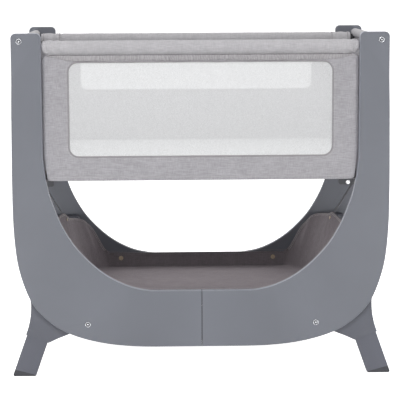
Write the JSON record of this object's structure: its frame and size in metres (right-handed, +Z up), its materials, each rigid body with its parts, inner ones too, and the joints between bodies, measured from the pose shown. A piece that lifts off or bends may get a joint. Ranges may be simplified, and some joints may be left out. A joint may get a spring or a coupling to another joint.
{
  "type": "cot bed",
  "caption": "Bedside cot bed: U-shaped front and rear panels on splayed height-adjusting legs, a fabric body with mesh windows and a drop-down front wall, and a storage basket.",
  "frame": {"origin": "on the floor, at the middle of the footprint", "axes": "+X to the right along the length as seen from the drop-down front, +Y to the rear, +Z up"},
  "size_m": [0.9666, 0.566, 0.874],
  "materials": {
    "panel_paint": "satin paint over fibreboard",
    "leg_paint": "satin paint over beech",
    "bracket_plastic": "fine grain",
    "button_plastic": "fine grain",
    "foot_rubber": "matte",
    "zinc_steel": "zinc plated",
    "spring_steel": "bright wire",
    "tube_steel": "powder coated",
    "black_plastic": "matte",
    "body_fabric": "light grey marl",
    "rail_fabric": "padded light grey marl",
    "window_mesh": "open white mesh",
    "mattress_cover": "quilted white cover",
    "board_wood": "bare hardboard",
    "basket_fabric": "dark grey brown canvas",
    "webbing": "woven webbing",
    "press_stud_brass": "aged brass",
    "zip_nylon": "nylon zip tape",
    "zip_metal": "enamelled zinc"
  },
  "bodies": {
    "frame": {"base_board": "board_wood", "base_bracket_bolts": "zinc_steel", "base_cross_rails": "tube_steel", "base_long_tubes": "tube_steel", "base_rail_brackets": "tube_steel", "basket_press_studs": "press_stud_brass", "basket_straps": "webbing", "body_base_cloth": "body_fabric", "end_rail_sleeve_left": "rail_fabric", "end_rail_sleeve_right": "rail_fabric", "end_top_tube_left": "tube_steel", "end_top_tube_right": "tube_steel", "end_wall_left": "body_fabric", "end_wall_right": "body_fabric", "frame_bolts": "zinc_steel", "front_panel_left": "panel_paint", "front_panel_right": "panel_paint", "latch_pivot_pins": "zinc_steel", "latch_spring_front_left": "spring_steel", "latch_spring_front_right": "spring_steel", "latch_spring_rear_left": "spring_steel", "latch_spring_rear_right": "spring_steel", "leg_bracket_front_left": "bracket_plastic", "leg_bracket_front_right": "bracket_plastic", "leg_bracket_rear_left": "bracket_plastic", "leg_bracket_rear_right": "bracket_plastic", "lower_cross_beam_left": "panel_paint", "lower_cross_beam_right": "panel_paint", "mattress": "mattress_cover", "panel_joint_plates": "panel_paint", "rail_corner_connectors": "black_plastic", "rear_panel_left": "panel_paint", "rear_panel_right": "panel_paint", "rear_rail_sleeve": "rail_fabric", "rear_top_tube": "tube_steel", "rear_wall": "body_fabric", "rear_window_mesh": "window_mesh", "storage_basket": "basket_fabric", "threaded_inserts": "zinc_steel", "tube_end_plugs": "black_plastic", "wood_screws": "zinc_steel", "zip_tapes": "zip_nylon"},
    "drop_side": {"front_wall": "body_fabric", "front_window_mesh": "window_mesh", "front_roll": "rail_fabric", "front_rail_tube": "tube_steel"},
    "leg_slide_front_right": {"leg_front_right": "leg_paint", "foot_pad_front_right": "foot_rubber"},
    "latch_rocker_front_right": {"leg_latch_front_right": "button_plastic"},
    "leg_slide_front_left": {"leg_front_left": "leg_paint", "foot_pad_front_left": "foot_rubber"},
    "latch_rocker_front_left": {"leg_latch_front_left": "button_plastic"},
    "leg_slide_rear_right": {"leg_rear_right": "leg_paint", "foot_pad_rear_right": "foot_rubber"},
    "latch_rocker_rear_right": {"leg_latch_rear_right": "button_plastic"},
    "leg_slide_rear_left": {"leg_rear_left": "leg_paint", "foot_pad_rear_left": "foot_rubber"},
    "latch_rocker_rear_left": {"leg_latch_rear_left": "button_plastic"},
    "zip_pull_left": {"zip_slider_left": "zip_metal"},
    "zip_pull_right": {"zip_slider_right": "zip_metal"}
  },
  "joints": [
    {"name": "drop_side_hinge", "type": "hinge", "parent": "frame", "child": "drop_side", "pos_m": [0, -0.268, 0.503], "axis": [1, 0, 0], "range_deg": [0, 150]},
    {"name": "leg_height_front_right", "type": "slide", "parent": "frame", "child": "leg_slide_front_right", "axis": [0.3371, 0, -0.9415], "range_m": [0, 0.12]},
    {"name": "leg_height_front_left", "type": "slide", "parent": "frame", "child": "leg_slide_front_left", "axis": [-0.3371, 0, -0.9415], "range_m": [0, 0.12]},
    {"name": "leg_height_rear_right", "type": "slide", "parent": "frame", "child": "leg_slide_rear_right", "axis": [0.3371, 0, -0.9415], "range_m": [0, 0.12]},
    {"name": "leg_height_rear_left", "type": "slide", "parent": "frame", "child": "leg_slide_rear_left", "axis": [-0.3371, 0, -0.9415], "range_m": [0, 0.12]},
    {"name": "latch_press_front_right", "type": "hinge", "parent": "frame", "child": "latch_rocker_front_right", "pos_m": [0.43102, -0.245, 0.174], "axis": [0, -1, 0], "range_deg": [0, 8], "stiffness_Nm_per_rad": 0.08, "springref_deg": -28.65, "deforming": ["latch_spring_front_right"]},
    {"name": "latch_press_front_left", "type": "hinge", "parent": "frame", "child": "latch_rocker_front_left", "pos_m": [-0.43102, -0.245, 0.174], "axis": [0, 1, 0], "range_deg": [0, 8], "stiffness_Nm_per_rad": 0.08, "springref_deg": -28.65, "deforming": ["latch_spring_front_left"]},
    {"name": "latch_press_rear_right", "type": "hinge", "parent": "frame", "child": "latch_rocker_rear_right", "pos_m": [0.43102, 0.245, 0.174], "axis": [0, -1, 0], "range_deg": [0, 8], "stiffness_Nm_per_rad": 0.08, "springref_deg": -28.65, "deforming": ["latch_spring_rear_right"]},
    {"name": "latch_press_rear_left", "type": "hinge", "parent": "frame", "child": "latch_rocker_rear_left", "pos_m": [-0.43102, 0.245, 0.174], "axis": [0, 1, 0], "range_deg": [0, 8], "stiffness_Nm_per_rad": 0.08, "springref_deg": -28.65, "deforming": ["latch_spring_rear_left"]},
    {"name": "zip_slide_left", "type": "slide", "parent": "frame", "child": "zip_pull_left", "axis": [0, 0, -1], "range_m": [0, 0.262]},
    {"name": "zip_slide_right", "type": "slide", "parent": "frame", "child": "zip_pull_right", "axis": [0, 0, -1], "range_m": [0, 0.262]}
  ]
}
